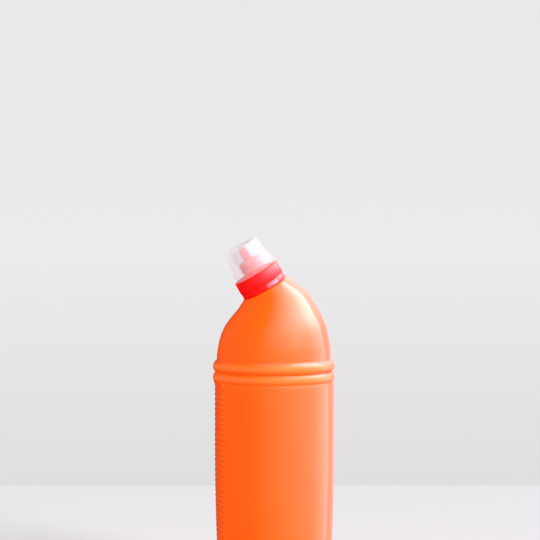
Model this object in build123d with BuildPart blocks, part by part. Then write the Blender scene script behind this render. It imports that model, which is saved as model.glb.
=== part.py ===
from build123d import *
import os
from math import atan2, cos, pi, radians, sin, sqrt, tan

os.makedirs("parts", exist_ok=True)

# Squeeze bottle for thick bleach, with a leaning neck, a jet nozzle and a clear screw overcap.
# All sizes are in millimetres. The bottle stands on Z = 0, centred on the Z axis, and its neck
# leans towards -X, which is the front. The XZ plane is the plane that the neck leans in.

# Bottle body
body_radius = 42.2
body_straight_from = 107.0
body_foot_draw = 2.7
side_run_count = 3
heel_radius = 7.0
stand_ring_width = 3.5
base_push_up = 4.5
bottle_wall = 1.0
# Where the push-up's slope steepens, as shares of its radius and its height
push_up_middle_shares = (0.55, 0.68)

# Two round rings at the shoulder
ring_proud = 0.3
ring_bead_radius = 7.1
ring_pitch = 7.6
upper_ring_height = 161.2
body_edge_height = 2.2

# Ladder of beads down the front and the back
bead_pitch = 3.53
bead_depth = 0.9
# A bead's flat crest as a share of the pitch
bead_crest_share = 0.4
# How far the beads' crests lie inside the round body
front_bead_setback = 1.65
back_bead_setback = 0.15
ladder_half_angle = 26.5
ladder_foot = 16.0
ladder_run_out = 4.0

# Dome that leans over into the neck
dome_setback = 2.7
dome_rise = 48.63
seat_shift = 6.3
neck_lean = 30.5

# Each row is one round section of the dome: how far its centre has risen from the ring to the
# neck's seat, how far it has moved towards the neck, its radius and how far it leans, each as
# a share of the whole.
dome_section_shares = [
    (0.000, 0.000, 1.000, 0.000),
    (0.128, -0.056, 0.994, 0.000),
    (0.285, -0.079, 0.960, 0.007),
    (0.478, -0.159, 0.884, 0.040),
    (0.634, -0.230, 0.774, 0.098),
    (0.772, -0.159, 0.658, 0.236),
    (0.908, 0.190, 0.541, 0.498),
    (0.961, 0.611, 0.482, 0.754),
    (1.000, 1.000, 0.432, 1.000),
]

# Neck finish under the collar
neck_radius = 13.0
neck_wall = 2.2
neck_lip_gap = 0.2
snap_bead_proud = 0.9
snap_bead_height = 2.4

# Red collar and nozzle, one moulding
collar_height = 13.0
skirt_clearance = 1.0
collar_band_proud = 0.2
collar_band_height = 3.5
collar_groove_height = 0.5
collar_groove_depth = 0.4
collar_wall = 2.1
collar_deck = 1.3
collar_seat_gap = 0.2
collar_edge_chamfer = 0.4
snap_clearance = 0.3
snap_rib_height = 1.5
knurl_tooth_height = 0.45
knurl_tooth_count = 90
lug_proud = 0.7
lug_height = 3.3
lug_half_angle = 17.0
lug_turn = 14.0
lug_round = 0.3
rim_ledge_width = 1.6
deck_rise = 1.5
plug_wall = 0.9
plug_clearance = 0.1
plug_depth = 5.5
spigot_radius = 7.6
spigot_height = 9.7
spigot_wall = 1.3
spigot_chamfer = 1.0
spout_foot_radius = 3.3
spout_tip_radius = 2.8
spout_height = 18.8
spout_bore_radius = 1.5
spout_tip_chamfer = 0.5
spout_foot_round = 1.2

# Clear overcap
cap_foot_proud = 0.15
cap_top_margin = 2.9
cap_height = 21.7
cap_wall = 1.1
cap_top_wall = 1.2
cap_edge_round = 2.2
cap_seat_gap = 0.2
cap_foot_chamfer = 0.3
sleeve_clearance = 0.9
sleeve_wall = 0.9
sleeve_foot_gap = 1.0
pin_radius = 1.1
pin_depth = 3.0

# Cutters run this far past what they cut
overrun = 3.0


# Places that follow from the sizes above
body_foot_radius = body_radius - body_foot_draw
front_bead_reach = body_radius - front_bead_setback
back_bead_reach = body_radius - back_bead_setback
ring_crest_radius = body_radius + ring_proud
ring_bead_centre = ring_crest_radius - ring_bead_radius
ring_groove_radius = ring_bead_centre + sqrt(ring_bead_radius**2 - (ring_pitch / 2) ** 2)
lower_ring_height = upper_ring_height - ring_pitch
lower_groove_height = lower_ring_height - ring_pitch / 2
body_top = lower_groove_height - body_edge_height
dome_radius = ring_crest_radius - dome_setback
dome_foot = upper_ring_height + sqrt(ring_bead_radius**2 - (dome_radius - ring_bead_centre) ** 2)
seat_height = dome_foot + dome_rise

neck_bore_radius = neck_radius - neck_wall
snap_bead_radius = neck_radius + snap_bead_proud
skirt_inner = neck_radius + skirt_clearance
knurl_root_radius = skirt_inner + collar_wall
collar_band_radius = knurl_root_radius + collar_band_proud
sleeve_inner = spigot_radius + sleeve_clearance
cap_foot_radius = collar_band_radius + cap_foot_proud
cap_top_radius = sleeve_inner + sleeve_wall + cap_top_margin

lean = radians(neck_lean)
seat_centre = Vector(-seat_shift, 0, seat_height)
neck_axis_direction = Vector(-sin(lean), 0, cos(lean))


def neck_plane(height, turn=0):
    """The plane across the neck at a height above its seat, turned about the neck's axis."""
    across = Vector(cos(lean), 0, sin(lean)) * cos(radians(turn)) + Vector(0, sin(radians(turn)), 0)
    return Plane(
        origin=seat_centre + neck_axis_direction * height, x_dir=across, z_dir=neck_axis_direction
    )


# A profile of the neck's parts is drawn as (radius, height above the seat)
neck_profile_plane = Plane(
    origin=seat_centre, x_dir=(cos(lean), 0, sin(lean)), z_dir=(0, -1, 0)
)
neck_axis = Axis(seat_centre, neck_axis_direction)


def corner_at(profile, radius, height):
    """The corner of a drawn profile nearest to a place."""
    return profile.vertices().sort_by_distance((radius, height))[0]


def foot_taper(height):
    """How far the body has drawn in at a height, below its straight part."""
    if height > body_straight_from:
        return 0.0
    share = (body_straight_from - height) / (body_straight_from - heel_radius)
    return (body_radius - body_foot_radius) * share**2


def side_heights(low, high):
    """Where the side's straight runs meet, from a low height to a high one, with both."""
    run = (body_straight_from - heel_radius) / side_run_count
    meetings = [heel_radius + number * run for number in range(side_run_count + 1)]
    return [low] + [height for height in meetings if low < height < high] + [high]


def ladder_axis_offset(bead_reach):
    """Distance of the ladder's own axis from the bottle's, for beads that reach so far out.

    The notches between the beads lie on a round surface that is flatter than the body, or
    rounder, and that runs out of the body's surface at the ladder's half angle.
    """
    notch_reach = bead_reach - bead_depth
    edge = body_radius * cos(radians(ladder_half_angle))
    return (body_radius**2 - notch_reach**2) / (2 * (notch_reach - edge))


def body_outline(inset):
    """The body's outline from its axis to its skin, up to the dome, drawn in by a wall or by zero."""
    stand_outer = body_foot_radius - heel_radius
    stand_inner = stand_outer - stand_ring_width
    heel_inner = heel_radius - inset
    side_top = body_top if inset == 0 else body_top - ring_pitch / 2
    with BuildSketch(Plane.XZ) as outline:
        with BuildLine():
            push = Polyline(
                (0, base_push_up + inset),
                (stand_inner * push_up_middle_shares[0], base_push_up * push_up_middle_shares[1] + inset),
                (stand_inner, inset),
                (stand_outer, inset),
            )
            heel_middle = (
                stand_outer + heel_inner * sin(radians(45)),
                heel_radius - heel_inner * cos(radians(45)),
            )
            heel_end = (body_foot_radius - inset, heel_radius)
            if inset == 0:
                heel = ThreePointArc(push @ 1, heel_middle, heel_end)
            else:
                heel = Polyline(push @ 1, heel_middle, heel_end)
            side = Polyline(
                *[
                    (body_radius - foot_taper(height) - inset, height)
                    for height in side_heights(heel_radius, side_top)
                ]
            )
            if inset == 0:
                edge = Line(side @ 1, (ring_groove_radius, lower_groove_height))
                lower_ring = ThreePointArc(
                    edge @ 1,
                    (ring_crest_radius, lower_ring_height),
                    (ring_groove_radius, lower_ring_height + ring_pitch / 2),
                )
                last = ThreePointArc(
                    lower_ring @ 1,
                    (ring_crest_radius, upper_ring_height),
                    (dome_radius, dome_foot),
                )
            else:
                groove_inner = ring_groove_radius - inset
                edge = Line(side @ 1, (groove_inner, body_top))
                straight = Line(edge @ 1, (groove_inner, upper_ring_height))
                last = Line(straight @ 1, (dome_radius - inset, dome_foot))
            over = Line(last @ 1, (0, dome_foot))
            Line(over @ 1, push @ 0)
        make_face()
    return outline.sketch


def dome_section(row, inset):
    """Centre, radius and lean of one dome section, moved inwards along the wall's normal."""
    rise, shift, size, tilt = dome_section_shares[row]
    before = dome_section_shares[max(row - 1, 0)]
    after = dome_section_shares[min(row + 1, len(dome_section_shares) - 1)]
    climb = (after[0] - before[0]) * (seat_height - dome_foot)
    drawn_in = (before[2] - after[2]) * dome_radius
    slope = atan2(drawn_in, climb)
    if row == 0:
        slope = 0
    angle = lean * tilt
    axis = Vector(-sin(angle), 0, cos(angle))
    centre = Vector(-seat_shift * shift, 0, dome_foot + rise * (seat_height - dome_foot))
    centre = centre - axis * (inset * sin(slope))
    plane = Plane(origin=centre, x_dir=(cos(angle), 0, sin(angle)), z_dir=axis)
    return plane, dome_radius * size - inset * cos(slope)


def ladder_cutter(bead_reach, facing, inset, beaded):
    """Everything outside the ladder's surface, from its foot to the groove under the rings.

    facing is -1 for the front and 1 for the back. With beads, the surface is a column of beads
    with sharp notches between them. Without, it is the plain surface behind the notches.
    """
    offset = ladder_axis_offset(bead_reach)
    crest = bead_reach + offset
    notch = crest - bead_depth - inset
    outside = body_radius + offset + overrun
    bead_count = int((lower_groove_height - ladder_foot) / bead_pitch)
    foot = lower_groove_height - bead_count * bead_pitch
    # The profile is drawn on the far side of the ladder's axis, so that no seam meets the body
    far = -facing
    axis_x = -facing * offset

    def point(radius, height):
        return (axis_x + far * (radius - foot_taper(height)), height)

    top = lower_groove_height + inset
    low_end = foot - inset
    rim = axis_x + far * outside
    with BuildPart() as cutter:
        with BuildSketch(Plane.XZ):
            with BuildLine():
                if beaded:
                    flank = bead_pitch * (1 - bead_crest_share) / 2
                    surface = []
                    for number in range(bead_count):
                        low = foot + number * bead_pitch
                        surface.append(point(notch, low))
                        surface.append(point(crest, low + flank))
                        surface.append(point(crest, low + bead_pitch - flank))
                    surface.append(point(notch, top))
                else:
                    surface = [point(notch, height) for height in side_heights(low_end, top)]
                Polyline(*surface, (rim, top), (rim, low_end - ladder_run_out), close=True)
            make_face()
        revolve(axis=Axis((axis_x, 0, 0), (0, 0, 1)))
    return cutter.part


# The space inside the bottle, which the wall is built around
with BuildPart() as cavity:
    revolve(body_outline(bottle_wall), axis=Axis.Z)
    add(ladder_cutter(front_bead_reach, -1, bottle_wall, False), mode=Mode.SUBTRACT)
    add(ladder_cutter(back_bead_reach, 1, bottle_wall, False), mode=Mode.SUBTRACT)
    for row in range(len(dome_section_shares)):
        section_plane, section_radius = dome_section(row, bottle_wall)
        with BuildSketch(section_plane):
            Circle(section_radius)
    loft(ruled=True)

# Blow-moulded bottle
neck_height = collar_seat_gap + collar_height - collar_deck - neck_lip_gap
snap_bead_foot = collar_seat_gap + 2 * snap_rib_height
with BuildPart() as bottle:
    revolve(body_outline(0), axis=Axis.Z)
    add(ladder_cutter(front_bead_reach, -1, 0, True), mode=Mode.SUBTRACT)
    add(ladder_cutter(back_bead_reach, 1, 0, True), mode=Mode.SUBTRACT)
    for row in range(len(dome_section_shares)):
        section_plane, section_radius = dome_section(row, 0)
        with BuildSketch(section_plane):
            Circle(section_radius)
    loft()
    with BuildSketch(neck_plane(-bottle_wall)):
        Circle(neck_radius)
    extrude(amount=neck_height + bottle_wall)
    # Bead that the collar snaps over, steep below and easy above
    with BuildSketch(neck_profile_plane):
        with BuildLine():
            Polyline(
                (neck_radius - bottle_wall, snap_bead_foot),
                (snap_bead_radius, snap_bead_foot),
                (snap_bead_radius, snap_bead_foot + snap_bead_height / 3),
                (neck_radius, snap_bead_foot + snap_bead_height),
                (neck_radius - bottle_wall, snap_bead_foot + snap_bead_height),
                close=True,
            )
        make_face()
    revolve(axis=neck_axis)
    add(cavity.part, mode=Mode.SUBTRACT)
    with BuildSketch(neck_plane(-bottle_wall - overrun)):
        Circle(neck_bore_radius)
    extrude(amount=neck_height + bottle_wall + 2 * overrun, mode=Mode.SUBTRACT)
bottle.part.label = "bottle"
export_step(bottle.part, "parts/bottle.step")

# Collar and nozzle, one moulding
collar_foot = collar_seat_gap
collar_rim = collar_foot + collar_height
deck_under = collar_rim - collar_deck
knurl_foot = collar_foot + collar_band_height + collar_groove_height
snap_rib_radius = neck_radius + snap_clearance
snap_rib_foot = collar_foot + snap_rib_height / 2
plug_outer = neck_bore_radius - plug_clearance
spigot_top = collar_rim + spigot_height
spigot_inner = spigot_radius - spigot_wall
spout_tip = collar_rim + spout_height
ledge_inner = knurl_root_radius - rim_ledge_width
# Two smooth lugs low on the collar's skirt, opposite each other
with BuildPart() as lugs:
    for side in (0, 180):
        with BuildSketch(neck_plane(collar_foot + collar_edge_chamfer, side - 90 + lug_turn)):
            with BuildLine():
                lug_inside = collar_band_radius - collar_groove_depth
                inner = CenterArc((0, 0), lug_inside, -lug_half_angle, 2 * lug_half_angle)
                outer = CenterArc(
                    (0, 0), collar_band_radius + lug_proud, -lug_half_angle, 2 * lug_half_angle
                )
                Line(inner @ 0, outer @ 0)
                Line(inner @ 1, outer @ 1)
            make_face()
        extrude(amount=lug_height)
    lug_faces = lugs.faces().filter_by(GeomType.CYLINDER)
    fillet(lug_faces.filter_by(lambda face: face.radius > collar_band_radius).edges(), lug_round)

with BuildPart() as nozzle_collar:
    with BuildSketch(neck_profile_plane) as profile:
        with BuildLine():
            Polyline(
                (skirt_inner, collar_foot),
                (collar_band_radius, collar_foot),
                (collar_band_radius, collar_foot + collar_band_height),
                (knurl_root_radius - collar_groove_depth, collar_foot + collar_band_height),
                (knurl_root_radius - collar_groove_depth, collar_rim),
                (ledge_inner, collar_rim),
                (spigot_radius, collar_rim + deck_rise),
                (spigot_radius, spigot_top - spigot_chamfer),
                (spigot_radius - spigot_chamfer, spigot_top),
                (spout_foot_radius, spigot_top),
                (spout_tip_radius, spout_tip),
                (spout_bore_radius, spout_tip),
                (spout_bore_radius, spigot_top - spigot_wall),
                (spigot_inner, spigot_top - spigot_wall - spigot_chamfer),
                (spigot_inner, deck_under),
                (plug_outer - plug_wall, deck_under),
                (plug_outer - plug_wall, deck_under - plug_depth),
                (plug_outer - plug_wall / 2, deck_under - plug_depth),
                (plug_outer, deck_under - plug_depth + plug_wall),
                (plug_outer, deck_under),
                (skirt_inner, deck_under),
                (skirt_inner, snap_rib_foot + snap_rib_height),
                (snap_rib_radius, snap_rib_foot + snap_rib_height),
                (snap_rib_radius, snap_rib_foot + snap_rib_height / 2),
                (skirt_inner, snap_rib_foot),
                close=True,
            )
        make_face()
        chamfer(corner_at(profile, collar_band_radius, collar_foot), collar_edge_chamfer)
        chamfer(
            corner_at(profile, knurl_root_radius - collar_groove_depth, collar_rim),
            collar_edge_chamfer,
        )
        chamfer(corner_at(profile, spout_tip_radius, spout_tip), spout_tip_chamfer)
        fillet(corner_at(profile, spout_foot_radius, spigot_top), spout_foot_round)
    revolve(axis=neck_axis)
    # Fine upright teeth round the upper band: roots and crests take turns round the outline
    with BuildSketch(neck_plane(knurl_foot)):
        with BuildLine():
            teeth = []
            for number in range(knurl_tooth_count):
                root_turn = 2 * pi * number / knurl_tooth_count
                crest_turn = root_turn + pi / knurl_tooth_count
                crest = knurl_root_radius + knurl_tooth_height
                root = knurl_root_radius
                teeth.append((root * cos(root_turn), root * sin(root_turn)))
                teeth.append((crest * cos(crest_turn), crest * sin(crest_turn)))
            Polyline(*teeth, close=True)
        make_face()
        Circle(knurl_root_radius - collar_wall / 2, mode=Mode.SUBTRACT)
    extrude(amount=collar_rim - collar_edge_chamfer - knurl_foot)
    add(lugs.part)
nozzle_collar.part.label = "nozzle_collar"
export_step(nozzle_collar.part, "parts/nozzle_collar.step")

# Clear screw overcap
cap_foot = collar_rim + cap_seat_gap
cap_top = cap_foot + cap_height
top_under = cap_top - cap_top_wall
sleeve_foot = collar_rim + deck_rise + sleeve_foot_gap
cap_flank = atan2(cap_foot_radius - cap_top_radius, cap_height)


def cap_radius(height):
    """Outer radius of the tapered skirt at a height above the neck's seat."""
    return cap_foot_radius - (height - cap_foot) * tan(cap_flank)


with BuildPart() as overcap:
    with BuildSketch(neck_profile_plane) as profile:
        with BuildLine():
            Polyline(
                (0, cap_top),
                (cap_top_radius, cap_top),
                (cap_foot_radius, cap_foot),
                (cap_foot_radius - cap_wall / cos(cap_flank), cap_foot),
                (cap_radius(top_under) - cap_wall / cos(cap_flank), top_under),
                (sleeve_inner + sleeve_wall, top_under),
                (sleeve_inner + sleeve_wall, sleeve_foot),
                (sleeve_inner, sleeve_foot),
                (sleeve_inner, top_under),
                (pin_radius, top_under),
                (pin_radius, spout_tip - pin_depth + pin_radius),
                (0, spout_tip - pin_depth),
                close=True,
            )
        make_face()
        inner_corner = corner_at(profile, cap_radius(top_under) - cap_wall / cos(cap_flank), top_under)
        fillet(inner_corner, cap_top_wall)
        fillet(corner_at(profile, cap_top_radius, cap_top), cap_edge_round)
        chamfer(corner_at(profile, cap_foot_radius, cap_foot), cap_foot_chamfer)
    revolve(axis=neck_axis)
overcap.part.label = "overcap"
export_step(overcap.part, "parts/overcap.step")
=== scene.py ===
# %% [markdown]
# # A bleach bottle with a leaning neck
#
# This scene dresses a bottle that was built as solids somewhere else. The solids come in as a
# frame that nothing here may move. The lesson goes piece by piece: the blow-moulded bottle, the
# red collar with its nozzle, the clear overcap, and then the light and the camera.

# %% Load the frame
import math

import bpy
import numpy as np
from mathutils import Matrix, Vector


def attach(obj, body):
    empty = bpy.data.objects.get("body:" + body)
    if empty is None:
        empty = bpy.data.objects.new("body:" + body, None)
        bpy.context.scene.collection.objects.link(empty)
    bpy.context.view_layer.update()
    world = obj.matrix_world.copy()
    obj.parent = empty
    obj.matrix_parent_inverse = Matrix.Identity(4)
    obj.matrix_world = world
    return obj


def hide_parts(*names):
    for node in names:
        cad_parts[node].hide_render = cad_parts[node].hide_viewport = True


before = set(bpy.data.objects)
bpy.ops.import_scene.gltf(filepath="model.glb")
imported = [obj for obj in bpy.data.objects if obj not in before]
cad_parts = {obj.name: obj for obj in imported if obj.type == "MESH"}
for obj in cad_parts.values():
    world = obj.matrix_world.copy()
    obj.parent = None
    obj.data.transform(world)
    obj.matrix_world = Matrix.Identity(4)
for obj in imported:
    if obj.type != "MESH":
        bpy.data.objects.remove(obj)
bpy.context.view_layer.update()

# %% [markdown]
# Blender works in metres here, and the bottle was measured in millimetres. One factor turns the
# one into the other, so that every size below can be read as it would stand on a drawing.
# Colours are written as sRGB hex codes, and one function turns them into Blender's linear ones.

# %% Units and colours
MM = 0.001


def hex_to_linear(code):
    """The linear colour of an sRGB hex code such as "ff6a1c"."""
    channels = [int(code[place : place + 2], 16) / 255 for place in (0, 2, 4)]
    linear = [c / 12.92 if c <= 0.04045 else ((c + 0.055) / 1.055) ** 2.4 for c in channels]
    return (*linear, 1.0)


print("grey 808080 is", round(hex_to_linear("808080")[0], 3), "in linear light")

# %% [markdown]
# A material is a small network of nodes. One function adds any node. The short ones after it
# make what comes back in several networks, and give the socket that the next node reads. The
# last one starts a material.


# %% Node helpers
def add_node(tree, kind, settings=None, links=None):
    """Add a node, set its properties and sockets, and link its sockets.

    A socket goes by its name, or by its number where several sockets share one name.
    """
    node = tree.nodes.new(kind)
    for name, value in (settings or {}).items():
        if isinstance(name, str) and hasattr(node, name):
            setattr(node, name, value)
        else:
            node.inputs[name].default_value = value
    for name, source in (links or {}).items():
        tree.links.new(source, node.inputs[name])
    return node


def noise(tree, place, size, detail=2.0, distortion=0.0):
    """Noise from 0 to 1 whose patches are about as wide as the size."""
    settings = {"Scale": 1 / size, "Detail": detail, "Distortion": distortion}
    return add_node(tree, "ShaderNodeTexNoise", settings, {"Vector": place}).outputs["Fac"]


def map_range(tree, value, target, source=(0.0, 1.0), smooth=False):
    """A value carried over from a source range to a target range, and held at their ends."""
    settings = {"interpolation_type": "SMOOTHSTEP" if smooth else "LINEAR"}
    settings.update(zip(("From Min", "From Max", "To Min", "To Max"), (*source, *target)))
    return add_node(tree, "ShaderNodeMapRange", settings, {"Value": value}).outputs["Result"]


def arithmetic(tree, operation, *terms):
    """The result of an operation on terms, which are numbers or other nodes' sockets."""
    settings = {"operation": operation}
    links = {}
    for number, term in enumerate(terms):
        if isinstance(term, (int, float)):
            settings[number] = term
        else:
            links[number] = term
    return add_node(tree, "ShaderNodeMath", settings, links).outputs["Value"]


def bump(tree, height, distance, under=None):
    """The normal of a surface raised by a height of 0 to 1 distances, over another bump."""
    links = {"Height": height}
    if under is not None:
        links["Normal"] = under
    return add_node(tree, "ShaderNodeBump", {"Distance": distance}, links).outputs["Normal"]


def ramp(tree, share, stops, interpolation="LINEAR"):
    """The colour at a share of a ramp, whose stops are pairs of place and colour.

    The first place is 0 and the last is 1. A colour is a hex code, or a number for a grey.
    """
    node = add_node(tree, "ShaderNodeValToRGB", links={"Fac": share})
    node.color_ramp.interpolation = interpolation
    for place, _ in stops[1:-1]:
        node.color_ramp.elements.new(place)
    for element, (_, colour) in zip(node.color_ramp.elements, stops):
        is_hex = isinstance(colour, str)
        element.color = hex_to_linear(colour) if is_hex else (colour, colour, colour, 1)
    return node.outputs["Color"]


def mix_shaders(tree, share, first, second):
    """The first shader, with a share of it given over to the second."""
    links = {0: share, 1: first, 2: second}
    return add_node(tree, "ShaderNodeMixShader", links=links).outputs["Shader"]


def new_material(name, constants):
    """A node material with its tree and its main shader, which is joined to the output."""
    material = bpy.data.materials.new(name)
    material.use_nodes = True
    tree = material.node_tree
    tree.nodes.clear()
    shader = add_node(tree, "ShaderNodeBsdfPrincipled", constants)
    add_node(tree, "ShaderNodeOutputMaterial", links={"Surface": shader.outputs["BSDF"]})
    print("material:", name)
    return material, tree, shader


# %% [markdown]
# The meshes below are made of rows of points. Two rows that run all the way round are joined by
# one rule: each point is joined to its neighbour in the row, and to the same point of the other
# row. The shading is smooth, except where two faces meet at a real edge.

# %% Mesh helpers
SHARP_ANGLE = math.radians(60)


def faces_between(low, high, count):
    """Faces that join two closed rows, which are given by the numbers of their first points."""
    faces = []
    for side in range(count):
        beside = (side + 1) % count
        faces.append((low + side, low + beside, high + beside, high + side))
    return faces


def mesh_piece(name, points, faces):
    """A smooth-shaded mesh object from points and faces, sharp only at its real edges."""
    mesh = bpy.data.meshes.new(name)
    mesh.from_pydata([tuple(map(float, point)) for point in points], [], faces)
    mesh.validate()
    mesh.polygons.foreach_set("use_smooth", [True] * len(mesh.polygons))
    mesh.set_sharp_from_angle(angle=SHARP_ANGLE)
    piece = bpy.data.objects.new(name, mesh)
    bpy.context.collection.objects.link(piece)
    print(name, "faces:", len(mesh.polygons))
    return piece


# %% [markdown]
# ## Where the camera stands
#
# The lamps and the floor are placed by the camera's view, so its place is settled first. It
# stands a little to the left of the bottle's own side view, and looks slightly down.

# %% Place of the camera
CAMERA_DISTANCE = 1500 * MM
CAMERA_TURN = math.radians(-10)
CAMERA_DIP = math.radians(2.1)
AIM_HEIGHT = 228 * MM
AIM_LEFT = 2.7 * MM
print("camera turned by", round(math.degrees(CAMERA_TURN)), "degrees from the side view")

# %% [markdown]
# ## The bottle's sizes
#
# A bottle like this is blown from a soft tube inside a two-part mould. Its body is round, two
# beads run round the shoulder, a ladder of small beads runs down the front and the back for
# grip, and the dome leans over into the neck. These are the sizes of the outside, measured up
# from the floor and out from the middle.

# %% Bottle sizes
BODY_RADIUS = 42.2 * MM
BODY_FOOT_RADIUS = 39.5 * MM
BODY_STRAIGHT_FROM = 107.0 * MM
BODY_TOP = 147.6 * MM
BODY_EDGE_DROP = 0.25 * MM
HEEL_RADIUS = 7.0 * MM
STAND_RING_WIDTH = 3.5 * MM
PUSH_UP = 4.5 * MM
WALL = 1.0 * MM

RING_CREST_RADIUS = 42.47 * MM
RING_BEAD_RADIUS = 5.0 * MM
RING_PITCH = 7.6 * MM
UPPER_RING_HEIGHT = 161.2 * MM
RING_BEAD_CENTRE = RING_CREST_RADIUS - RING_BEAD_RADIUS
LOWER_RING_HEIGHT = UPPER_RING_HEIGHT - RING_PITCH
LOWER_GROOVE_HEIGHT = LOWER_RING_HEIGHT - RING_PITCH / 2

BEAD_PITCH = 3.53 * MM
BEAD_DEPTH = 0.9 * MM
FRONT_BEAD_REACH = 40.55 * MM
BACK_BEAD_REACH = 42.05 * MM
LADDER_HALF_ANGLE = math.radians(26.5)
LADDER_FOOT = 16.0 * MM
LADDER_FOOT_SLOPE = 1.5
BEAD_COUNT = int((LOWER_GROOVE_HEIGHT - LADDER_FOOT) / BEAD_PITCH)
LADDER_START = LOWER_GROOVE_HEIGHT - BEAD_COUNT * BEAD_PITCH

DOME_RADIUS = 39.8 * MM
DOME_FOOT = UPPER_RING_HEIGHT + math.sqrt(
    RING_BEAD_RADIUS**2 - (DOME_RADIUS - RING_BEAD_CENTRE) ** 2
)
SEAT_HEIGHT = 215.4 * MM
SEAT_SHIFT = 6.3 * MM
LEAN = math.radians(30.5)
NECK_RADIUS = 13.0 * MM
NECK_BORE_RADIUS = 10.8 * MM
NECK_HEIGHT = 11.7 * MM
NECK_EDGE = 0.3 * MM
SNAP_BEAD_FOOT = 3.2 * MM
SNAP_BEAD_HEIGHT = 2.4 * MM
SNAP_BEAD_RADIUS = 13.9 * MM

# Each row is one round section of the dome: rise, shift towards the neck, radius and lean,
# each as a share of the whole.
DOME_SECTION_SHARES = [
    (0.000, 0.000, 1.000, 0.000),
    (0.128, -0.056, 0.994, 0.000),
    (0.285, -0.079, 0.960, 0.007),
    (0.478, -0.159, 0.884, 0.040),
    (0.634, -0.230, 0.774, 0.098),
    (0.772, -0.159, 0.658, 0.236),
    (0.908, 0.190, 0.541, 0.498),
    (0.961, 0.611, 0.482, 0.754),
    (1.000, 1.000, 0.432, 1.000),
]
print("beads in one ladder:", BEAD_COUNT, "dome foot at", round(DOME_FOOT / MM, 2), "mm")

# %% [markdown]
# ## Soft corners
#
# Blown plastic never fills a sharp corner of the mould: it bridges it with a small radius. Two
# surfaces are therefore joined with a soft minimum or a soft maximum, which is the plain one
# except within a width of where they cross.

# %% Soft minimum and maximum
RING_GROOVE_SOFTNESS = 0.5 * MM
BEAD_NOTCH_SOFTNESS = 0.25 * MM
LADDER_EDGE_SOFTNESS = 0.35 * MM


def soft_min(a, b, width):
    """The lower of two surfaces, rounded where they cross."""
    share = np.clip(0.5 + 0.5 * (b - a) / width, 0, 1)
    return b * (1 - share) + a * share - width * share * (1 - share)


def soft_max(a, b, width):
    """The higher of two surfaces, rounded where they cross."""
    return -soft_min(-a, -b, width)


print("soft minimum of 1 and 1 over a width of 0.5:", soft_min(1.0, 1.0, 0.5))

# %% [markdown]
# The body is a surface of one radius for each height and each angle. Without the ladders the
# radius depends on the height alone: the side draws in towards its foot, is straight above, and
# rounds in a little at its top, and the two shoulder rings are round beads that stand out of it.


# %% Body radius by height
def foot_taper(height):
    """How far the side has drawn in below its straight part."""
    share = max(0.0, (BODY_STRAIGHT_FROM - height) / (BODY_STRAIGHT_FROM - HEEL_RADIUS))
    return (BODY_RADIUS - BODY_FOOT_RADIUS) * share**2


def ring_bead(height, centre_height):
    """Radius of one shoulder ring's bead at a height."""
    rise = height - centre_height
    return RING_BEAD_CENTRE + math.sqrt(max(RING_BEAD_RADIUS**2 - rise**2, 0))


def body_side(height):
    """Radius of the body at a height, with its rings and without its ladders."""
    edge_drop = BODY_EDGE_DROP / (LOWER_GROOVE_HEIGHT - BODY_TOP) ** 2
    over = max(0.0, height - BODY_TOP)
    side = BODY_RADIUS - foot_taper(height) - edge_drop * over**2
    if height < BODY_TOP - RING_PITCH / 2:
        return side
    rings = soft_max(
        ring_bead(height, LOWER_RING_HEIGHT),
        ring_bead(height, UPPER_RING_HEIGHT),
        RING_GROOVE_SOFTNESS,
    )
    return float(soft_max(side, rings, RING_GROOVE_SOFTNESS))


print("radius of the upper ring:", round(body_side(UPPER_RING_HEIGHT) / MM, 2), "mm")

# %% [markdown]
# A ladder is a column of full round beads, with narrow notches, on a surface of its own. At
# the front that surface is flatter than the body, which makes the grip's flat, and at the back
# it is a little rounder. It runs out of the body at the ladder's half angle, which is where the
# beads end. Displacement by a texture could draw such beads too, but real points give them a
# true outline at the bottle's edge, where the eye looks for them.

# %% Ladder surface by height and angle
# A higher power gives fuller beads with narrower notches
BEAD_FULLNESS = 3.6


def ladder_axis_offset(bead_reach):
    """Distance of the ladder's own axis from the bottle's."""
    notch_reach = bead_reach - BEAD_DEPTH
    edge = BODY_RADIUS * math.cos(LADDER_HALF_ANGLE)
    return (BODY_RADIUS**2 - notch_reach**2) / (2 * (notch_reach - edge))


def bead_rise(height):
    """How far the beads stand above their notches at a height."""
    from_crest = abs(2 * (((height - LADDER_START) / BEAD_PITCH) % 1) - 1)
    rise = BEAD_DEPTH * (1 - from_crest**BEAD_FULLNESS)
    return float(soft_max(rise, 0.0, BEAD_NOTCH_SOFTNESS))


def ladder_side(height, angles, bead_reach, facing):
    """Radius of one ladder's surface at a height, for each angle round the bottle."""
    offset = ladder_axis_offset(bead_reach)
    reach = bead_reach + offset - BEAD_DEPTH - foot_taper(height)
    if height >= LADDER_START:
        reach += bead_rise(height)
    else:
        reach += (LADDER_START - height) * LADDER_FOOT_SLOPE
    away = angles - facing
    return -offset * np.cos(away) + np.sqrt(reach**2 - (offset * np.sin(away)) ** 2)


def body_radii(height, angles):
    """Radius of the body at a height for each angle, ladders and all."""
    side = np.full_like(angles, body_side(height))
    if height > LOWER_GROOVE_HEIGHT:
        return side
    front = ladder_side(height, angles, FRONT_BEAD_REACH, math.pi)
    back = ladder_side(height, angles, BACK_BEAD_REACH, 0.0)
    both = np.where(np.cos(angles) < 0, front, back)
    return soft_min(side, both, LADDER_EDGE_SOFTNESS)


front_offset = ladder_axis_offset(FRONT_BEAD_REACH)
print("axis of the front ladder:", round(front_offset / MM, 1), "mm from the bottle's")

# %% [markdown]
# The dome is a stack of round sections whose centres move over to the neck while they shrink
# and lean. A handful of sections was measured, and a cubic spline through them gives as many
# in between as the mesh needs. The spline starts upright, so that no crease shows on the ring.


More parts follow.
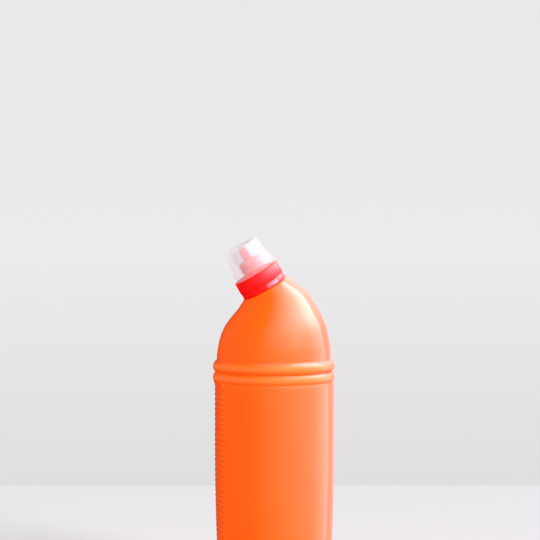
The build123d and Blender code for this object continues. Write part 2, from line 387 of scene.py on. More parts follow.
# %% Cubic spline through the dome's sections
def cubic_spline(places, values, start_slope):
    """A function through the values: clamped to a slope at the start and free at the end."""
    count = len(places)
    steps = np.diff(places)
    rates = np.diff(values) / steps
    matrix = np.zeros((count, count))
    right = np.zeros(count)
    matrix[0, 0], matrix[0, 1] = 2 * steps[0], steps[0]
    right[0] = 6 * (rates[0] - start_slope)
    for row in range(1, count - 1):
        before, after = steps[row - 1], steps[row]
        matrix[row, row - 1 : row + 2] = before, 2 * (before + after), after
        right[row] = 6 * (rates[row] - rates[row - 1])
    matrix[-1, -1] = 1
    bends = np.linalg.solve(matrix, right)

    def read(place):
        row = min(int(np.searchsorted(places, place, side="right")) - 1, count - 2)
        step, along = steps[row], place - places[row]
        slope = rates[row] - step * (2 * bends[row] + bends[row + 1]) / 6
        cube = (bends[row + 1] - bends[row]) / (6 * step)
        return values[row] + along * (slope + along * (bends[row] / 2 + along * cube))

    return read


SECTIONS = np.array(DOME_SECTION_SHARES)
DOME_RISE = SEAT_HEIGHT - DOME_FOOT
section_steps = np.hypot(
    np.diff(SECTIONS[:, 0]) * DOME_RISE,
    np.diff(SECTIONS[:, 2]) * DOME_RADIUS,
)
section_places = np.concatenate(([0.0], np.cumsum(section_steps)))
upright_rise = section_places[-1] / DOME_RISE
section_places = section_places / section_places[-1]
dome_rise_at, dome_shift_at, dome_size_at, dome_tilt_at = (
    cubic_spline(section_places, SECTIONS[:, column], slope)
    for column, slope in enumerate((upright_rise, 0.0, 0.0, 0.0))
)
print("radius half way up the dome:", round(dome_size_at(0.5) * DOME_RADIUS / MM, 1), "mm")

# %% [markdown]
# Every row of the mesh is one closed loop of points round the bottle. Points are packed closely
# where the ladders are and sparsely on the plain sides, where a round wall needs few. A loop
# lies square to an axis that may lean towards the neck's side.

# %% Loops round the bottle
FINE_STEP = math.radians(1.5)
PLAIN_STEP = math.radians(4.0)
FINE_MARGIN = math.radians(5)
FINE_HALF = LADDER_HALF_ANGLE + FINE_MARGIN
SIDEWAYS = np.array((0, 1, 0))


def angles_round():
    """Angles from the back round to the back again, close together over both ladders."""
    fine = np.arange(-FINE_HALF, FINE_HALF + FINE_STEP / 2, FINE_STEP)
    plain_count = int(round((math.pi - 2 * FINE_HALF) / PLAIN_STEP))
    plain = np.linspace(FINE_HALF, math.pi - FINE_HALF, plain_count + 1)[1:-1]
    return np.concatenate((fine, plain, fine + math.pi, plain + math.pi))


def leaning_axes(tilt):
    """The directions along and across an axis that leans by a tilt."""
    along = np.array((-math.sin(tilt), 0, math.cos(tilt)))
    across = np.array((math.cos(tilt), 0, math.sin(tilt)))
    return along, across


ANGLES = angles_round()
NECK_ALONG, NECK_ACROSS = leaning_axes(LEAN)
NECK_SEAT = np.array((-SEAT_SHIFT, 0, SEAT_HEIGHT))


def loop_at(centre, tilt, radii):
    """One loop round a leaning axis, with one radius for all its points or one for each."""
    across = leaning_axes(tilt)[1]
    spread = np.outer(np.cos(ANGLES) * radii, across) + np.outer(np.sin(ANGLES) * radii, SIDEWAYS)
    return spread + np.array(centre)


print("points in one loop:", len(ANGLES))

# %% [markdown]
# A flat base would bulge and rock, so a blown bottle stands on a ring with a push-up inside
# it. The loops below run from the middle of the base over the heel, up the side and the dome,
# over the neck's lip and back down inside, and end at the middle of the floor inside. The shell
# is then closed, with a real wall. Inside, the side is plain, and keeps clear of the notches.

# %% Loops of the bottle's outside and inside
# Loops along each stretch, counted with both of its ends, and from one bead to the next
PUSH_UP_LOOPS = 14
HEEL_LOOPS = 12
SIDE_FOOT_LOOPS = 8
RUN_IN_LOOPS = 9
RING_LOOPS = 60
DOME_LOOPS = 72
INNER_DOME_LOOPS = 24
INNER_SIDE_LOOPS = 30
LOOPS_PER_BEAD = 10

# The push-up's innermost loop and the standing ring's two edges, as shares of their widths, and
# the power that the push-up's curve follows
PUSH_UP_START = 0.12
STAND_RING_EDGE = 0.1
PUSH_UP_POWER = 2.1
LADDER_RUN_IN = 3 * MM
# How far up the dome its inside goes, and how far to both sides of a loop its slope is read
INNER_DOME_TOP = 0.97
SLOPE_REACH = 0.01
INNER_SIDE_DEPTH = 1.6 * WALL

# Radius and height above the seat, up the neck's outside, over its lip and down its bore
NECK_PROFILE = [
    (NECK_RADIUS + NECK_EDGE, 0.0),
    (NECK_RADIUS, NECK_EDGE),
    (NECK_RADIUS, SNAP_BEAD_FOOT),
    (SNAP_BEAD_RADIUS, SNAP_BEAD_FOOT),
    (SNAP_BEAD_RADIUS, SNAP_BEAD_FOOT + SNAP_BEAD_HEIGHT / 3),
    (NECK_RADIUS, SNAP_BEAD_FOOT + SNAP_BEAD_HEIGHT),
    (NECK_RADIUS, NECK_HEIGHT - NECK_EDGE),
    (NECK_RADIUS - NECK_EDGE, NECK_HEIGHT),
    (NECK_BORE_RADIUS + NECK_EDGE, NECK_HEIGHT),
    (NECK_BORE_RADIUS, NECK_HEIGHT - NECK_EDGE),
    (NECK_BORE_RADIUS, -WALL),
]


def base_points(inset):
    """(radius, height) of the push-up, the standing ring and the heel, from the middle out."""
    stand_outer = BODY_FOOT_RADIUS - HEEL_RADIUS
    stand_inner = stand_outer - STAND_RING_WIDTH
    heel_inner = HEEL_RADIUS - inset
    points = []
    for share in np.linspace(PUSH_UP_START, 1, PUSH_UP_LOOPS):
        points.append((stand_inner * share, PUSH_UP * (1 - share**PUSH_UP_POWER) + inset))
    points.append((stand_inner + STAND_RING_WIDTH * STAND_RING_EDGE, inset))
    points.append((stand_outer - STAND_RING_WIDTH * STAND_RING_EDGE, inset))
    for turn in np.radians(np.linspace(0, 90, HEEL_LOOPS)):
        radius = stand_outer + heel_inner * math.sin(turn)
        points.append((radius, HEEL_RADIUS - heel_inner * math.cos(turn)))
    return points


def body_heights():
    """Heights of the body's loops: below the ladder, where it starts, its beads, and the rings."""
    run_in_foot = LADDER_START - LADDER_RUN_IN
    below = np.linspace(HEEL_RADIUS, run_in_foot, SIDE_FOOT_LOOPS)[1:]
    run_in = np.linspace(run_in_foot, LADDER_START, RUN_IN_LOOPS)[1:-1]
    steps = np.arange(BEAD_COUNT * LOOPS_PER_BEAD + 1)
    beads = LADDER_START + steps * BEAD_PITCH / LOOPS_PER_BEAD
    above = np.linspace(LOWER_GROOVE_HEIGHT, DOME_FOOT, RING_LOOPS)[1:-1]
    return np.concatenate((below, run_in, beads, above))


def dome_loop(place, inset):
    """One loop of the dome, moved inwards along the wall by the inset."""
    low, high = max(place - SLOPE_REACH, 0.0), min(place + SLOPE_REACH, 1.0)
    climb = (dome_rise_at(high) - dome_rise_at(low)) * DOME_RISE
    drawn_in = (dome_size_at(low) - dome_size_at(high)) * DOME_RADIUS
    slope = math.atan2(drawn_in, climb)
    tilt = LEAN * dome_tilt_at(place)
    height = DOME_FOOT + dome_rise_at(place) * DOME_RISE
    centre = np.array((-SEAT_SHIFT * dome_shift_at(place), 0, height))
    centre = centre - leaning_axes(tilt)[0] * inset * math.sin(slope)
    return loop_at(centre, tilt, DOME_RADIUS * dome_size_at(place) - inset * math.cos(slope))


def inner_side_loops():
    """Loops down the inside of the side, which is flat behind the front ladder."""
    front_limit = FRONT_BEAD_REACH - BEAD_DEPTH - WALL
    loops = []
    for height in np.linspace(DOME_FOOT - WALL, HEEL_RADIUS, INNER_SIDE_LOOPS)[:-1]:
        side = min(body_side(height), BODY_RADIUS - foot_taper(height))
        loop = loop_at((0, 0, height), 0, side - INNER_SIDE_DEPTH)
        loop[:, 0] = np.maximum(loop[:, 0], -front_limit)
        loops.append(loop)
    return loops


def bottle_loops():
    """All loops of the bottle, in order, from the base's middle round to the inside's."""
    loops = [loop_at((0, 0, z), 0, r) for r, z in base_points(0)]
    loops += [loop_at((0, 0, z), 0, body_radii(z, ANGLES)) for z in body_heights()]
    loops += [dome_loop(place, 0) for place in np.linspace(0, 1, DOME_LOOPS)]
    loops += [loop_at(NECK_SEAT + NECK_ALONG * z, LEAN, r) for r, z in NECK_PROFILE]
    loops += [dome_loop(place, WALL) for place in np.linspace(INNER_DOME_TOP, 0, INNER_DOME_LOOPS)]
    loops += inner_side_loops()
    loops += [loop_at((0, 0, z), 0, r) for r, z in reversed(base_points(WALL))]
    return loops


# %% [markdown]
# The loops are joined one to the next, and the first and the last are closed with a fan of
# triangles round a point in their middle.


# %% The bottle's mesh
def mesh_from_loops(name, loops, first_pole, last_pole):
    """A closed mesh through the loops, with a fan at each end."""
    count = len(ANGLES)
    points = np.concatenate([np.array([first_pole]), *loops, np.array([last_pole])])
    last = 1 + (len(loops) - 1) * count
    faces = [(0, 1 + (side + 1) % count, 1 + side) for side in range(count)]
    for low in range(1, last, count):
        faces += faces_between(low, low + count, count)
    faces += [(last + side, last + (side + 1) % count, len(points) - 1) for side in range(count)]
    return mesh_piece(name, points, faces)


bottle = mesh_from_loops(
    "blown_bottle", bottle_loops(), (0, 0, PUSH_UP), (0, 0, PUSH_UP + WALL)
)
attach(bottle, "bottle_body")
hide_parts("bottle")

# %% [markdown]
# ## High-density polyethylene, blown and coloured orange
#
# HDPE has an index of refraction of about 1.54. It is blown against a lightly blasted mould, so
# its gloss is broad and soft, never a mirror. It lets a little light into the wall, which warms
# the shaded side. Four fine things are added: a very slight unevenness of colour where the wall
# is thicker, a faint orange-peel surface, the thin line that the two halves of the mould leave
# down the front and the back, and a painted highlight: a paler band, a little rougher too, a
# little above the middle of each shoulder ring.

# %% Orange polyethylene
HDPE_ORANGE = "fe5701"
HDPE_ORANGE_THIN = "ff5e02"
HDPE_ORANGE_PAINTED_HIGHLIGHT = "ff6c16"
HDPE_ROUGHNESS = (0.16, 0.2)
HDPE_HIGHLIGHT_BAND_EXTRA_ROUGHNESS = 0.16
HDPE_CONSTANTS = {
    "IOR": 1.54,
    "Subsurface Weight": 0.05,
    "Subsurface Radius": (1.0, 0.35, 0.1),
    "Subsurface Scale": 2 * MM,
}
WALL_PATCH_SIZE = 45 * MM
PEEL_SIZE = 0.8 * MM
PEEL_HEIGHT = 0.01 * MM
PARTING_LINE_WIDTH = 0.5 * MM
PARTING_LINE_HEIGHT = 0.08 * MM
# Painted highlight over the two rings, a paler and rougher band: place from the groove below
# them to the dome, and share. The lift puts it a little above each ring's middle.
HIGHLIGHT_BAND_BY_HEIGHT = [(0.0, 0.0), (0.25, 1.0), (0.5, 0.0), (0.75, 1.0), (1.0, 0.0)]
HIGHLIGHT_BAND_LIFT = 0.9 * MM


def orange_polyethylene():
    """Blown HDPE with a soft gloss, a faint peel, a parting line and a painted highlight on the
    rings.
    """
    material, tree, shader = new_material("hdpe_blown_orange", HDPE_CONSTANTS)
    place = add_node(tree, "ShaderNodeTexCoord").outputs["Object"]
    place_parts = add_node(tree, "ShaderNodeSeparateXYZ", links={"Vector": place}).outputs
    patches = noise(tree, place, WALL_PATCH_SIZE)
    colour = ramp(tree, patches, [(0.0, HDPE_ORANGE), (1.0, HDPE_ORANGE_THIN)])
    # A paler colour painted along the rings stands for their highlight, and the band is rougher
    # too
    highlight_band_from = LOWER_GROOVE_HEIGHT + HIGHLIGHT_BAND_LIFT
    rings_span = (highlight_band_from, highlight_band_from + 2 * RING_PITCH)
    over_rings = map_range(tree, place_parts["Z"], (0.0, 1.0), rings_span)
    painted_highlight_band = ramp(tree, over_rings, HIGHLIGHT_BAND_BY_HEIGHT, "EASE")
    with_painted_highlight = add_node(
        tree,
        "ShaderNodeMix",
        {"data_type": "RGBA", 7: hex_to_linear(HDPE_ORANGE_PAINTED_HIGHLIGHT)},
        {0: painted_highlight_band, 6: colour},
    )
    tree.links.new(with_painted_highlight.outputs[2], shader.inputs["Base Color"])
    roughness = arithmetic(
        tree,
        "MULTIPLY_ADD",
        painted_highlight_band,
        HDPE_HIGHLIGHT_BAND_EXTRA_ROUGHNESS,
        map_range(tree, patches, HDPE_ROUGHNESS),
    )
    tree.links.new(roughness, shader.inputs["Roughness"])
    from_seam = arithmetic(tree, "ABSOLUTE", place_parts["Y"])
    seam = map_range(tree, from_seam, (1.0, 0.0), (0.0, PARTING_LINE_WIDTH / 2), smooth=True)
    seam_bump = bump(tree, seam, PARTING_LINE_HEIGHT)
    peel_bump = bump(tree, noise(tree, place, PEEL_SIZE, detail=1.0), PEEL_HEIGHT, seam_bump)
    tree.links.new(peel_bump, shader.inputs["Normal"])
    return material


bottle.data.materials.append(orange_polyethylene())

# %% [markdown]
# ## The collar and its nozzle
#
# The collar and the nozzle are one injection moulding. It is a turned shape, so its mesh is one
# profile taken round the neck's axis, from the skirt's foot up the outside, over the spout and
# down again inside. Ninety fine upright teeth give a grip: where a row of the profile is toothed,
# its radius rises and falls with the angle. Two low lugs on the plain band are shells of their
# own, with rounded edges and a face that slopes back, so that it catches the light from above.

# %% Collar and nozzle sizes
COLLAR_RIM = 13.2 * MM
BAND_RADIUS = 16.3 * MM
SPIGOT_RADIUS = 7.6 * MM
KNURL_TOOTH_HEIGHT = 0.27 * MM
KNURL_TOOTH_COUNT = 90
POINTS_PER_TOOTH = 4
LUG_RADIUS = 17.2 * MM
LUG_HALF_ANGLE = math.radians(17)
LUG_TURN = math.radians(14)
LUG_LOW = 0.6 * MM
LUG_TOP = 3.9 * MM
LUG_ROUND = 0.3 * MM
LUG_SLOPE = 0.95 * MM
LUG_ROOT_SINK = 0.5 * MM
# Steps round a lug's rounded edge, in degrees, and places from its middle to where that starts
LUG_EDGE_DEGREES = (0, 20, 40, 60, 75, 90)
LUG_FACE_PLACES = 7

# Radius and height in millimetres, and the share of the teeth's height that the row carries
COLLAR_PROFILE = [
    (14.0, 0.2, 0), (15.9, 0.2, 0), (16.1, 0.3, 0), (16.3, 0.6, 0), (16.3, 3.5, 0), (16.2, 3.7, 0),
    (15.7, 3.7, 0), (15.7, 4.2, 0), (16.15, 4.2, 0.2), (16.25, 4.35, 1), (16.25, 8.5, 1),
    (16.25, 12.6, 1), (16.15, 12.8, 0.4), (15.7, 12.8, 0), (15.55, 13.05, 0), (15.3, 13.2, 0),
    (14.5, 13.2, 0), (11.0, 13.95, 0), (7.9, 14.64, 0), (7.6, 14.9, 0), (7.6, 21.9, 0),
    (7.45, 22.35, 0), (7.05, 22.75, 0), (6.6, 22.9, 0), (4.5, 22.9, 0), (3.9, 23.05, 0),
    (3.45, 23.45, 0), (3.25, 24.1, 0), (2.83, 31.5, 0), (2.7, 31.85, 0), (2.4, 32.0, 0),
    (1.6, 32.0, 0), (1.5, 31.9, 0), (1.5, 21.6, 0), (6.3, 20.6, 0), (6.3, 11.9, 0), (9.8, 11.9, 0),
    (9.8, 6.4, 0), (10.25, 6.4, 0), (10.7, 7.3, 0), (10.7, 11.9, 0), (14.0, 11.9, 0),
    (14.0, 2.45, 0), (13.3, 2.45, 0), (13.3, 1.7, 0), (14.0, 0.95, 0),
]
print("rows in the collar's profile:", len(COLLAR_PROFILE))

# %% [markdown]
# The profile is a closed line, so the last row of the mesh is joined to the first. A lug is a
# block bent round the band. Its places lie close together at its rounded edges.


# %% Collar and nozzle mesh
def neck_point(radius, turn, height):
    """A point round the neck's axis, at a height above the neck's seat."""
    outwards = NECK_ACROSS * math.cos(turn) + SIDEWAYS * math.sin(turn)
    return NECK_SEAT + NECK_ALONG * height + outwards * radius


def collar_rows():
    """Points and faces of the turned part, teeth and all."""
    count = KNURL_TOOTH_COUNT * POINTS_PER_TOOTH
    rows = len(COLLAR_PROFILE)
    points = []
    for radius, height, toothed in COLLAR_PROFILE:
        for step in range(count):
            phase = (step % POINTS_PER_TOOTH) / POINTS_PER_TOOTH
            tooth = KNURL_TOOTH_HEIGHT * toothed * (1 - abs(2 * phase - 1))
            turn = 2 * math.pi * step / count
            points.append(neck_point(radius * MM + tooth, turn, height * MM))
    faces = []
    for row in range(rows):
        faces += faces_between(row * count, (row + 1) % rows * count, count)
    return points, faces


def edge_steps(half):
    """Distances from the middle of a rounded block to its edge, close together at the edge."""
    curve = [half - LUG_ROUND * (1 - math.sin(math.radians(a))) for a in LUG_EDGE_DEGREES]
    inner = list(np.linspace(0, curve[0], LUG_FACE_PLACES)[1:-1])
    positive = inner + curve
    return [-value for value in reversed(positive)] + [0.0] + positive


def lug_shell(middle_turn, first):
    """Points and faces of one lug: a block bent round the band, rounded along its edges.

    A last row all round it is sunk into the band, so that no edge hangs free.
    """
    arc_half = LUG_RADIUS * LUG_HALF_ANGLE
    height_half = (LUG_TOP - LUG_LOW) / 2
    arcs, heights = edge_steps(arc_half), edge_steps(height_half)
    wide, tall = len(arcs) + 2, len(heights) + 2
    points = []
    for row, height in enumerate([heights[0], *heights, heights[-1]]):
        for column, arc in enumerate([arcs[0], *arcs, arcs[-1]]):
            inside = min(arc_half - abs(arc), height_half - abs(height), LUG_ROUND)
            drop = LUG_ROUND - math.sqrt(LUG_ROUND**2 - (LUG_ROUND - inside) ** 2)
            back = LUG_SLOPE * (height + height_half) / (2 * height_half)
            radius = LUG_RADIUS - drop - back
            if column in (0, wide - 1) or row in (0, tall - 1):
                radius = BAND_RADIUS - LUG_ROOT_SINK
            turn = middle_turn + arc / LUG_RADIUS
            points.append(neck_point(radius, turn, height + (LUG_TOP + LUG_LOW) / 2))
    faces = []
    for row in range(tall - 1):
        for column in range(wide - 1):
            corner = first + row * wide + column
            faces.append((corner, corner + 1, corner + 1 + wide, corner + wide))
    return points, faces


collar_points, collar_faces = collar_rows()
first_lug_face = len(collar_faces)
for middle_turn in (LUG_TURN - math.pi / 2, LUG_TURN + math.pi / 2):
    lug_points, lug_faces = lug_shell(middle_turn, len(collar_points))
    collar_points += lug_points
    collar_faces += lug_faces
collar = mesh_piece("collar_and_nozzle", collar_points, collar_faces)
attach(collar, "bottle_body")
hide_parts("nozzle_collar")

# %% [markdown]
# Polypropylene has an index of refraction of about 1.49. From a polished mould it comes out
# glossier than the bottle, and its pigment flows unevenly on its way through the gate, which
# shows as long faint streaks round the part. Its gloss is a little cool, as the daylight is that
# it mirrors, and this turns the red towards pink where the gloss is strong. The lugs' faces are
# cut in the mould as polished flats and flash nearly white, so they have the same finish with a
# higher index, which stands for a gloss without any grain to dull it.

# %% Red polypropylene
PP_RED = "f60c0a"
PP_RED_LIGHT = "fa1410"
PP_RED_ROUGHNESS = (0.12, 0.17)
PP_RED_CONSTANTS = {
    "Specular Tint": hex_to_linear("f2ebff"),
    "Subsurface Weight": 0.04,
    "Subsurface Radius": (1.0, 0.1, 0.08),
    "Subsurface Scale": 1.5 * MM,
}
PP_IOR = 1.49
PP_POLISHED_IOR = 1.9
PP_FLOW_SIZE = 9 * MM
PP_FLOW_DETAIL = 3.0
PP_FLOW_DISTORTION = 0.6
PP_GRAIN_SIZE = 0.5 * MM
PP_GRAIN_HEIGHT = 0.004 * MM


def red_polypropylene(name, index):
    """Moulded polypropylene with flow streaks and a fine grain."""
    material, tree, shader = new_material(name, {**PP_RED_CONSTANTS, "IOR": index})
    place = add_node(tree, "ShaderNodeTexCoord").outputs["Object"]
    flow = noise(tree, place, PP_FLOW_SIZE, PP_FLOW_DETAIL, PP_FLOW_DISTORTION)
    colour = ramp(tree, flow, [(0.0, PP_RED), (1.0, PP_RED_LIGHT)])
    tree.links.new(colour, shader.inputs["Base Color"])
    tree.links.new(map_range(tree, flow, PP_RED_ROUGHNESS), shader.inputs["Roughness"])
    grain = bump(tree, noise(tree, place, PP_GRAIN_SIZE, detail=1.0), PP_GRAIN_HEIGHT)
    tree.links.new(grain, shader.inputs["Normal"])
    return material


red_finish = red_polypropylene("polypropylene_moulded_red", PP_IOR)
collar.data.materials.append(red_finish)
collar.data.materials.append(red_polypropylene("polypropylene_polished_red", PP_POLISHED_IOR))
for face in collar.data.polygons[first_lug_face:]:
    face.material_index = 1

# %% [markdown]
# The overcap screws down on a coarse thread round the nozzle's spigot. A thread is a profile
# that turns round an axis while it climbs: here a rounded ridge, three millimetres from turn to
# turn, which grows out of the wall at its start and dies into it at its end.

# %% Screw thread on the spigot
THREAD_RIDGE = 0.55 * MM
THREAD_HALF_WIDTH = 0.75 * MM
THREAD_PITCH = 3.0 * MM
THREAD_START = 2.6 * MM
THREAD_TURNS = 2.0
THREAD_ROOT_SINK = 0.15 * MM
THREAD_STEPS_PER_TURN = 72
THREAD_TAPER_STEPS = 12
THREAD_LEAST_WIDTH = 0.2
# Place across the ridge, and rise, as shares of its half width and its height
THREAD_PROFILE = [(-1.0, 0.0), (-0.6, 0.55), (-0.25, 0.95), (0.25, 0.95), (0.6, 0.55), (1.0, 0.0)]


def thread_mesh(name):
    """A closed helical ridge that tapers away at both of its ends."""
    steps = int(THREAD_TURNS * THREAD_STEPS_PER_TURN)
    count = len(THREAD_PROFILE) + 2
    points = []
    for step in range(steps + 1):
        turn = 2 * math.pi * step / THREAD_STEPS_PER_TURN
        middle = COLLAR_RIM + THREAD_START + THREAD_PITCH * turn / (2 * math.pi)
        taper = min(1.0, step / THREAD_TAPER_STEPS, (steps - step) / THREAD_TAPER_STEPS)
        for side, rise in [(-1.0, -1.0), *THREAD_PROFILE, (1.0, -1.0)]:
            if rise < 0:
                radius = SPIGOT_RADIUS - THREAD_ROOT_SINK
            else:
                radius = SPIGOT_RADIUS + THREAD_RIDGE * rise * taper
            height = middle + THREAD_HALF_WIDTH * side * max(taper, THREAD_LEAST_WIDTH)
            points.append(neck_point(radius, turn, height))
    faces = []
    for step in range(steps):
        faces += faces_between(step * count, (step + 1) * count, count)
    faces.append(tuple(range(count))[::-1])
    faces.append(tuple(range(steps * count, steps * count + count)))
    return mesh_piece(name, points, faces)


thread = thread_mesh("spigot_thread")
thread.data.materials.append(red_finish)
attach(thread, "bottle_body")

# %% [markdown]
# ## The clear overcap
#
# The overcap is polypropylene without pigment. It is clear but never as clear as glass: its
# crystals scatter a little of the light, so it looks milky and lets the red nozzle through as
# pink. Its wall is about a millimetre thick, too thin to bend what is seen through it, so the
# surface is a see-through shader. A share of a white that scatters stands for the haze, and a
# gloss lies over both. Its share is small straight on, because the eye looks through four such
# surfaces and each adds its own, and it grows with the fifth power of the slant, which is the
# same from inside and outside the thin wall.

# %% Clear polypropylene
PP_CLEAR = "fefdfe"
PP_CLEAR_ROUGHNESS = 0.08
PP_HAZE_CONSTANTS = {"Base Color": hex_to_linear("f2eeef"), "Roughness": 0.5, "IOR": PP_IOR}
PP_HAZE_SHARE = (0.08, 0.14)
PP_HAZE_PATCH = 7 * MM
PP_RIPPLE_SIZE = 3 * MM
PP_RIPPLE_HEIGHT = 0.03 * MM
PP_GLANCE_SHARE = (0.003, 0.13)
PP_GLANCE_POWER = 5.0


def clear_polypropylene():
    """Unpigmented polypropylene: see-through, with a milky haze and a gloss."""
    material, tree, haze = new_material("polypropylene_clear_hazy", PP_HAZE_CONSTANTS)
    place = add_node(tree, "ShaderNodeTexCoord").outputs["Object"]
    clear = add_node(tree, "ShaderNodeBsdfTransparent", {"Color": hex_to_linear(PP_CLEAR)})
    haze_share = map_range(tree, noise(tree, place, PP_HAZE_PATCH), PP_HAZE_SHARE)
    milky = mix_shaders(tree, haze_share, clear.outputs["BSDF"], haze.outputs["BSDF"])
    ripples = bump(tree, noise(tree, place, PP_RIPPLE_SIZE), PP_RIPPLE_HEIGHT)
    gloss = add_node(
        tree, "ShaderNodeBsdfAnisotropic", {"Roughness": PP_CLEAR_ROUGHNESS}, {"Normal": ripples}
    )
    slant = add_node(tree, "ShaderNodeLayerWeight").outputs["Facing"]
    glance = map_range(tree, arithmetic(tree, "POWER", slant, PP_GLANCE_POWER), PP_GLANCE_SHARE)
    finished = mix_shaders(tree, glance, milky, gloss.outputs["BSDF"])
    tree.links.new(finished, tree.get_output_node("ALL").inputs["Surface"])
    return material


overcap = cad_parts["overcap"]
overcap.data.materials.clear()
overcap.data.materials.append(clear_polypropylene())

# %% [markdown]
# ## Floor and studio
#
# The bottle stands on a plain pale floor that ends a good way behind it, in front of a pale
# wall. The wall is so far away that the world can draw it: it only has to be the right colour in
# each direction.

# %% Floor
FLOOR_CONSTANTS = {
    "Base Color": hex_to_linear("d6d4d7"),
    "Roughness": 0.9,
    "Specular IOR Level": 0.0,
}
FLOOR_HALF_WIDTH = 1600 * MM
FLOOR_BEHIND = 566 * MM
FLOOR_IN_FRONT = 1400 * MM


def camera_frame_point(right, towards, height):
    """A point to the camera's right, towards the camera and above the floor."""
    to_right = Vector((math.cos(CAMERA_TURN), math.sin(CAMERA_TURN), 0))
    to_camera = Vector((math.sin(CAMERA_TURN), -math.cos(CAMERA_TURN), 0))
    return to_right * right + to_camera * towards + Vector((0, 0, height))


floor_corners = [
    camera_frame_point(-FLOOR_HALF_WIDTH, FLOOR_IN_FRONT, 0),
    camera_frame_point(FLOOR_HALF_WIDTH, FLOOR_IN_FRONT, 0),
    camera_frame_point(FLOOR_HALF_WIDTH, -FLOOR_BEHIND, 0),
    camera_frame_point(-FLOOR_HALF_WIDTH, -FLOOR_BEHIND, 0),
]
floor = mesh_piece("floor", floor_corners, [(0, 1, 2, 3)])
floor.data.materials.append(new_material("floor_matt_paint", FLOOR_CONSTANTS)[0])
floor.visible_glossy = False

# %% [markdown]
# The world has three parts. The camera sees a pale wall, straight or through the cap, with a
# painted shade along its foot. A gloss sees a studio: dark on the left, which keeps that side of
# the bottle deep in colour, and brighter to the right and overhead, where the large soft lights of
# a studio stand. Every other ray finds a soft white that fills the shade. One picture of a room
# could do all of this, but three plain parts can be set one by one, and each follows the bottle's
# form from every side.
#
# Heights in the world are the upward part of a direction of length one: -1 straight down, 0 at
# the horizon and 1 straight up. Pairs of heights are where a change starts and where it is done.

# %% The world and the wall that the camera sees
# The wall darkens towards its foot, where it meets the floor: a painted shade
WALL_HEIGHTS = (-0.134, 0.085)
WALL_COLOURS = [(0.0, "e0dedf"), (0.475, "ecebec"), (1.0, "eae8e9")]

world = bpy.data.worlds.new("studio")
bpy.context.scene.world = world
world.use_nodes = True
# Its light depends on the kind of ray, so no map of it is made to sample from
world.cycles.sampling_method = "NONE"
sky = world.node_tree
sky.nodes.clear()
direction = add_node(sky, "ShaderNodeTexCoord").outputs["Generated"]
upwards = add_node(sky, "ShaderNodeSeparateXYZ", links={"Vector": direction}).outputs["Z"]
wall_colour = ramp(sky, map_range(sky, upwards, (0.0, 1.0), WALL_HEIGHTS), WALL_COLOURS)
seen_wall = add_node(sky, "ShaderNodeBackground", {"Strength": 1.0}, {"Color": wall_colour})
print("wall colours:", [colour for _, colour in WALL_COLOURS])

# %% [markdown]
# The studio is a ramp over the azimuth, which is the angle round the bottle from the camera to
# its right. The ramp's own levels run from 0 to 1, so the studio's are divided by the brightest
# of them, and multiplied by it again after the ramp.

# %% The studio that a gloss sees
STUDIO_COLOUR = "f5f3fb"
# Degrees round from the camera to its right, and brightness
STUDIO_BY_AZIMUTH = [
    (-180, 1.0), (-174, 0.15), (-160, 0.03), (-35, 0.03), (0, 0.65), (30, 1.35),
    (60, 2.2), (86, 2.9), (92, 3.8), (122, 4.2), (128, 1.7), (180, 1.0),
]
# The studio grows brighter by this factor overhead, and dimmer to this share underneath
OVERHEAD_GAIN = 3.7
OVERHEAD_HEIGHTS = (0.05, 0.75)
UNDERNEATH_SHARE = 0.25
UNDERNEATH_HEIGHTS = (-0.45, -0.1)
# Straight overhead every azimuth meets, so one brightness takes the place of all
ZENITH_STRENGTH = 2.6
ZENITH_HEIGHTS = (0.9, 0.99)

rightwards, camerawards = (
    add_node(
        sky, "ShaderNodeVectorMath", {"operation": "DOT_PRODUCT", 1: axis}, {0: direction}
    ).outputs["Value"]
    for axis in (camera_frame_point(1, 0, 0), camera_frame_point(0, 1, 0))
)
azimuth = arithmetic(sky, "ARCTAN2", rightwards, camerawards)
brightest = max(level for _, level in STUDIO_BY_AZIMUTH)
studio = ramp(
    sky,
    map_range(sky, azimuth, (0.0, 1.0), (-math.pi, math.pi)),
    [(degrees / 360 + 0.5, level / brightest) for degrees, level in STUDIO_BY_AZIMUTH],
)
overhead = map_range(sky, upwards, (1.0, OVERHEAD_GAIN), OVERHEAD_HEIGHTS, smooth=True)
underneath = map_range(sky, upwards, (UNDERNEATH_SHARE, 1.0), UNDERNEATH_HEIGHTS, smooth=True)
studio_strength = arithmetic(
    sky,
    "MULTIPLY",
    arithmetic(sky, "MULTIPLY", studio, brightest),
    arithmetic(sky, "MULTIPLY", overhead, underneath),
)
at_zenith = map_range(sky, upwards, (0.0, 1.0), ZENITH_HEIGHTS, smooth=True)
gloss_strength = add_node(
    sky, "ShaderNodeMix", {3: ZENITH_STRENGTH}, {0: at_zenith, 2: studio_strength}
)
gloss_light = add_node(
    sky,
    "ShaderNodeBackground",
    {"Color": hex_to_linear(STUDIO_COLOUR)},
    {"Strength": gloss_strength.outputs[0]},
)
print("brightest place in the studio:", brightest)

# %% [markdown]
# The fill is strongest at the horizon, and fades upwards and a little downwards. The light path
# then tells one kind of ray from another, and two mixes give each kind its own part.

# %% The fill, and which ray sees what
FILL_COLOUR = "ffffff"
FILL_AT_HORIZON = 1.55
FILL_AT_TOP = 0.15
FILL_BELOW = 0.85
FILL_BELOW_HEIGHTS = (-0.2, 0.0)

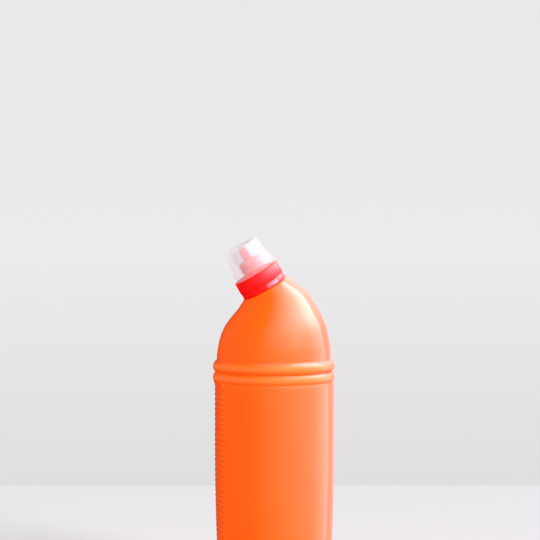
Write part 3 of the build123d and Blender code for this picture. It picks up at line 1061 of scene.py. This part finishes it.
fill_above = map_range(sky, upwards, (FILL_AT_HORIZON, FILL_AT_TOP))
fill_below = map_range(sky, upwards, (FILL_BELOW, FILL_AT_HORIZON), FILL_BELOW_HEIGHTS)
fill = add_node(
    sky,
    "ShaderNodeBackground",
    {"Color": hex_to_linear(FILL_COLOUR)},
    {"Strength": arithmetic(sky, "MINIMUM", fill_above, fill_below)},
)
ray = add_node(sky, "ShaderNodeLightPath").outputs
fill_or_gloss = mix_shaders(
    sky, ray["Is Glossy Ray"], fill.outputs["Background"], gloss_light.outputs["Background"]
)
seen = arithmetic(sky, "MAXIMUM", ray["Is Camera Ray"], ray["Is Transmission Ray"])
sky_light = mix_shaders(sky, seen, fill_or_gloss, seen_wall.outputs["Background"])
add_node(sky, "ShaderNodeOutputWorld", links={"Surface": sky_light})
print("nodes in the world:", len(sky.nodes))

# %% [markdown]
# Three soft boxes light the bottle. The key is large and stands to the right of the camera, so
# that the orange deepens towards the left. A weaker one stands behind the bottle on the left and
# keeps the edge of the shaded side light, and the third hangs above and lights the rings and the
# beads from the top. No gloss sees them: the world already holds what a gloss shows, and a lamp
# would add a bright rectangle of its own.

# %% Soft boxes
# Name, degrees round from the camera to its right, then distance from the bottle, height and
# side in metres, and watts
SOFT_BOXES = [
    ("key_box", 46, 5.0, 2.6, 2.7, 333),
    ("left_box", -122, 4.5, 1.0, 2.1, 106),
    ("top_box", 20, 0.6, 2.8, 1.2, 11),
]
LAMP_AIM = Vector((0, 0, 160 * MM))

for name, degrees, distance, height, side, watts in SOFT_BOXES:
    angle = math.radians(degrees)
    lamp = bpy.data.lights.new(name, "AREA")
    lamp.shape = "SQUARE"
    lamp.size = side
    lamp.energy = watts
    holder = bpy.data.objects.new(name, lamp)
    bpy.context.collection.objects.link(holder)
    holder.location = camera_frame_point(
        distance * math.sin(angle), distance * math.cos(angle), height
    )
    holder.rotation_euler = (LAMP_AIM - holder.location).to_track_quat("-Z", "Y").to_euler()
    holder.visible_glossy = False
    holder.visible_camera = False
    print(name, "at", [round(value, 2) for value in holder.location], watts, "W")

# %% [markdown]
# ## Camera
#
# The photograph was taken from a little above the bottle's top with a long lens, and shows the
# neck leaning to the left and slightly forwards. The camera stands one and a half metres away.
# Its lens follows from the scale: how many millimetres one pixel of the photograph covers there.

# %% Camera
PHOTO_SIDE = 540
PHOTO_SCALE = 0.695 * MM
SENSOR_WIDTH = 36.0
CLIP_END = 20
view_distance = CAMERA_DISTANCE / math.cos(CAMERA_DIP)
camera_data = bpy.data.cameras.new("photo_camera")
camera_data.sensor_width = SENSOR_WIDTH
camera_data.lens = SENSOR_WIDTH * view_distance / (PHOTO_SCALE * PHOTO_SIDE)
camera_data.clip_end = CLIP_END
camera = bpy.data.objects.new("photo_camera", camera_data)
bpy.context.collection.objects.link(camera)
aim_point = camera_frame_point(-AIM_LEFT, 0, AIM_HEIGHT)
camera.location = camera_frame_point(
    -AIM_LEFT, CAMERA_DISTANCE, AIM_HEIGHT + CAMERA_DISTANCE * math.tan(CAMERA_DIP)
)
camera.rotation_euler = (aim_point - camera.location).to_track_quat("-Z", "Y").to_euler()
bpy.context.scene.camera = camera
print("lens", round(camera_data.lens, 1), "mm")

# %% View transform and the end
bpy.context.scene.view_settings.view_transform = "Standard"
bpy.context.view_layer.update()
